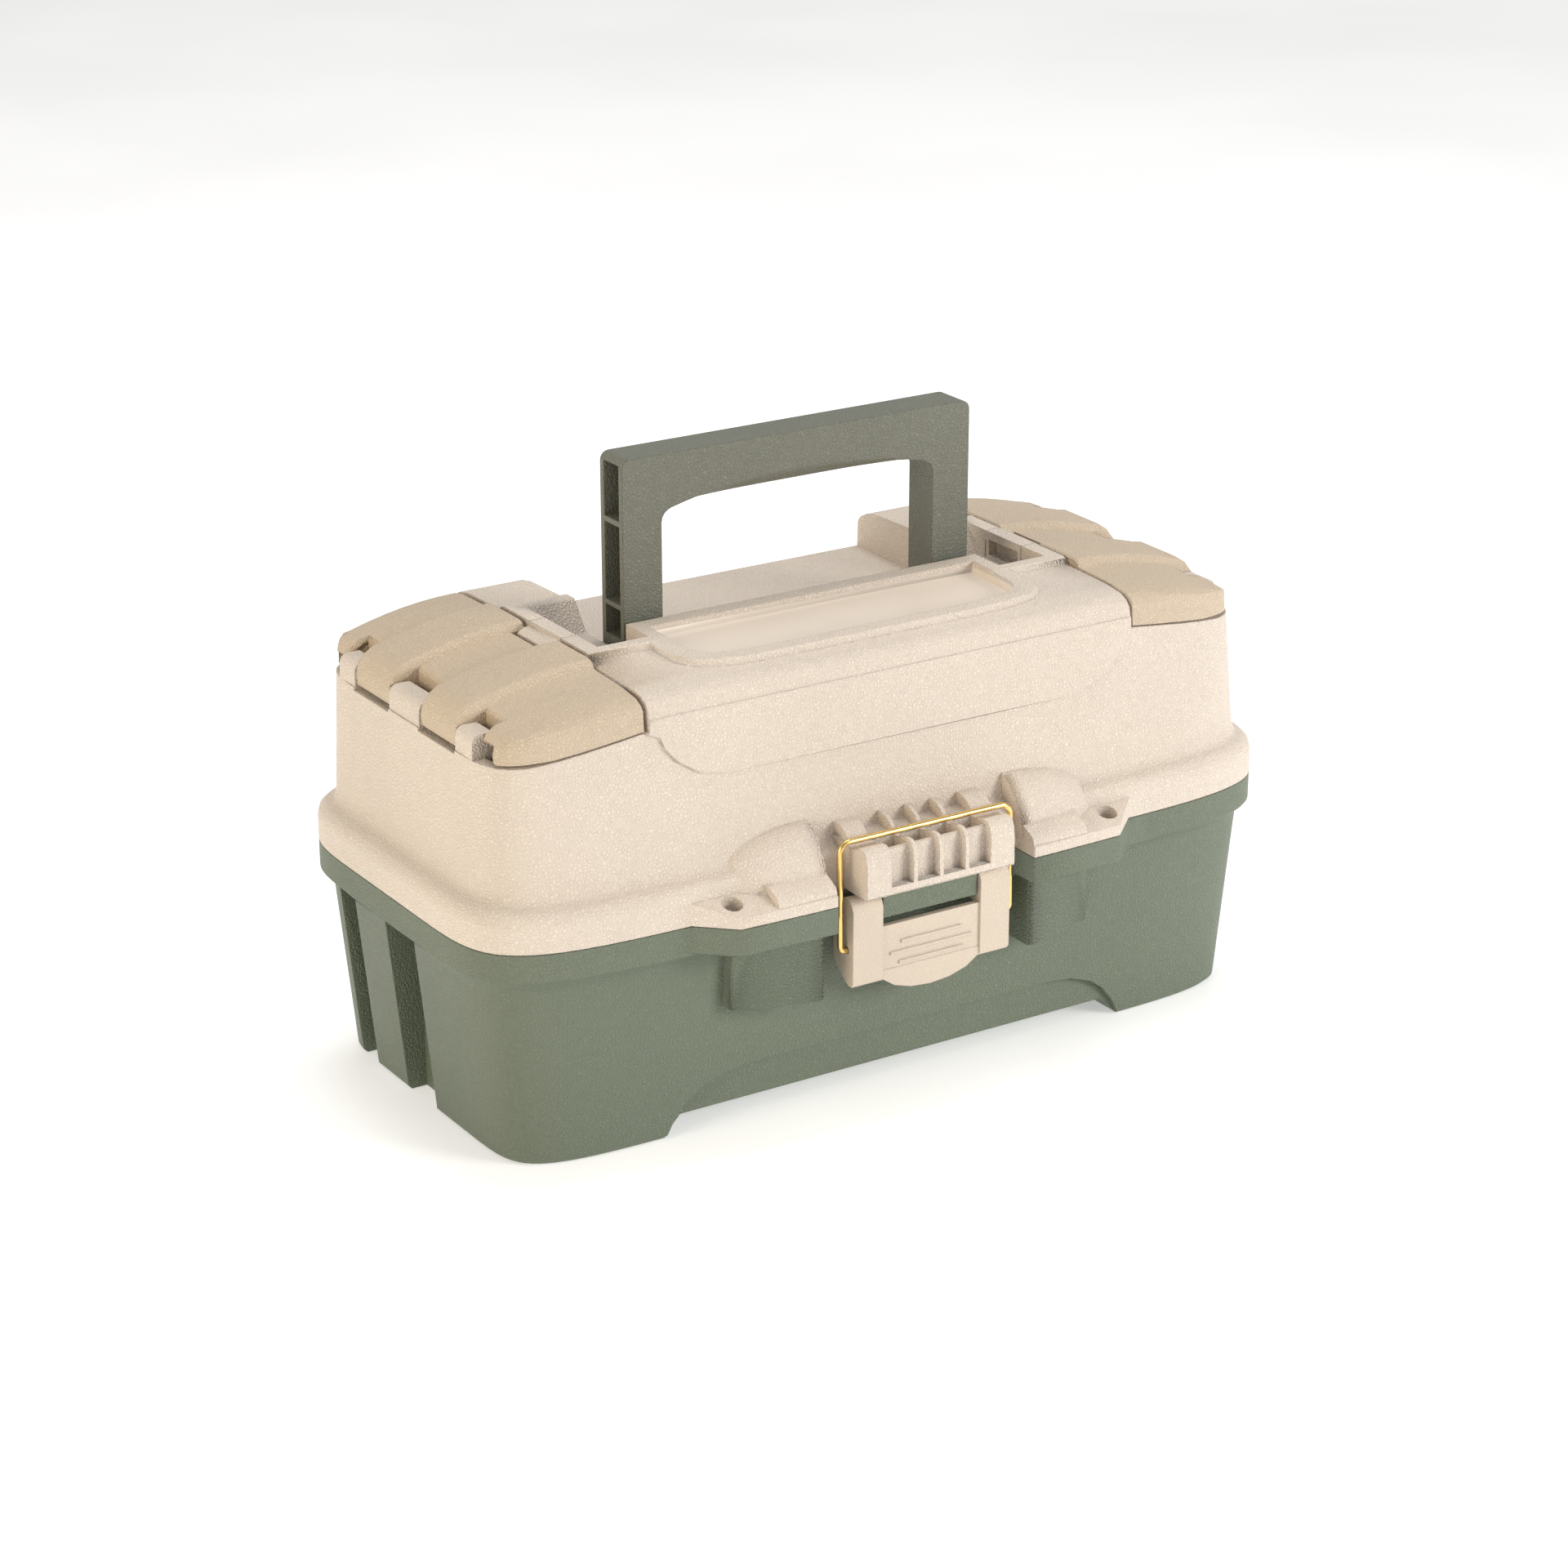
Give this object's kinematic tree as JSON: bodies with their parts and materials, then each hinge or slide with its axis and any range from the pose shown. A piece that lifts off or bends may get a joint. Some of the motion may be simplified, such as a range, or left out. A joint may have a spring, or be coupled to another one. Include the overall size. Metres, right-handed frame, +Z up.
{
  "type": "tackle box",
  "caption": "Moulded plastic fishing tackle box with a hinged lid, cantilever tray, covered end bins, folding carry handle and wire-bail draw latch",
  "frame": {"origin": "on the ground plane under the middle of the closed box's bounding box", "axes": "+X along the box to the viewer's right, the latch faces -Y, the lid's hinge is at +Y, +Z up"},
  "size_m": [0.37, 0.2048, 0.2482],
  "materials": {
    "tan_plastic": "fine moulded leather grain, satin",
    "cover_plastic": "fine moulded leather grain, satin",
    "green_plastic": "fine moulded leather grain, satin",
    "handle_plastic": "smooth satin moulding",
    "tray_plastic": "smooth satin moulding",
    "brass_wire": "bright drawn wire",
    "pin_steel": "plain drawn steel"
  },
  "bodies": {
    "base": {"base": "green_plastic", "left_hinge_pin": "pin_steel", "right_hinge_pin": "pin_steel", "left_arm_rivet": "pin_steel", "right_arm_rivet": "pin_steel", "latch_pin": "pin_steel"},
    "lid": {"lid": "tan_plastic", "left_handle_pin": "pin_steel", "right_handle_pin": "pin_steel", "left_lid_rivet": "pin_steel", "right_lid_rivet": "pin_steel"},
    "tray": {"tray": "tray_plastic", "tray_divider_1": "tray_plastic", "tray_divider_2": "tray_plastic", "tray_divider_3": "tray_plastic", "tray_divider_4": "tray_plastic", "left_tray_rivet": "pin_steel", "right_tray_rivet": "pin_steel"},
    "left_arm": {"left_tray_arm": "pin_steel"},
    "right_arm": {"right_tray_arm": "pin_steel"},
    "handle": {"handle": "handle_plastic"},
    "left_cover": {"left_cover": "cover_plastic"},
    "right_cover": {"right_cover": "cover_plastic"},
    "latch_lever": {"latch_lever": "tan_plastic"},
    "latch_bail": {"latch_bail": "brass_wire"}
  },
  "joints": [
    {"name": "lid_hinge", "type": "hinge", "parent": "base", "child": "lid", "pos_m": [0, 0.0977, 0.0912], "axis": [-1, 0, 0], "range_deg": [0, 105]},
    {"name": "tray_pivot", "type": "hinge", "parent": "lid", "child": "tray", "pos_m": [0, 0.0277, 0.0952], "axis": [-1, 0, 0], "range_deg": [-105, 0]},
    {"name": "left_arm_pivot", "type": "hinge", "parent": "base", "child": "left_arm", "pos_m": [-0.1595, 0.0677, 0.0802], "axis": [-1, 0, 0], "range_deg": [0, 105]},
    {"name": "right_arm_pivot", "type": "hinge", "parent": "base", "child": "right_arm", "pos_m": [0.1595, 0.0677, 0.0802], "axis": [-1, 0, 0], "range_deg": [0, 105]},
    {"name": "handle_pivot", "type": "hinge", "parent": "lid", "child": "handle", "pos_m": [0, 0.0122, 0.168], "axis": [-1, 0, 0], "range_deg": [0, 90]},
    {"name": "left_cover_hinge", "type": "hinge", "parent": "lid", "child": "left_cover", "pos_m": [-0.1665, 0.0068, 0.1655], "axis": [0, -1, 0], "range_deg": [0, 100]},
    {"name": "right_cover_hinge", "type": "hinge", "parent": "lid", "child": "right_cover", "pos_m": [0.1665, 0.0068, 0.1655], "axis": [0, 1, 0], "range_deg": [0, 100]},
    {"name": "latch_pivot", "type": "hinge", "parent": "base", "child": "latch_lever", "pos_m": [0, -0.0913, 0.0855], "axis": [-1, 0, 0], "range_deg": [0, 90]},
    {"name": "bail_pivot", "type": "hinge", "parent": "latch_lever", "child": "latch_bail", "pos_m": [0, -0.092, 0.0685], "axis": [-1, 0, 0], "range_deg": [-144, 0]}
  ],
  "couplings": [
    {"joint": "tray_pivot", "follows": "lid_hinge", "ratio": -1},
    {"joint": "left_arm_pivot", "follows": "lid_hinge", "ratio": 1},
    {"joint": "right_arm_pivot", "follows": "lid_hinge", "ratio": 1},
    {"joint": "bail_pivot", "follows": "latch_pivot", "ratio": -1.6}
  ]
}
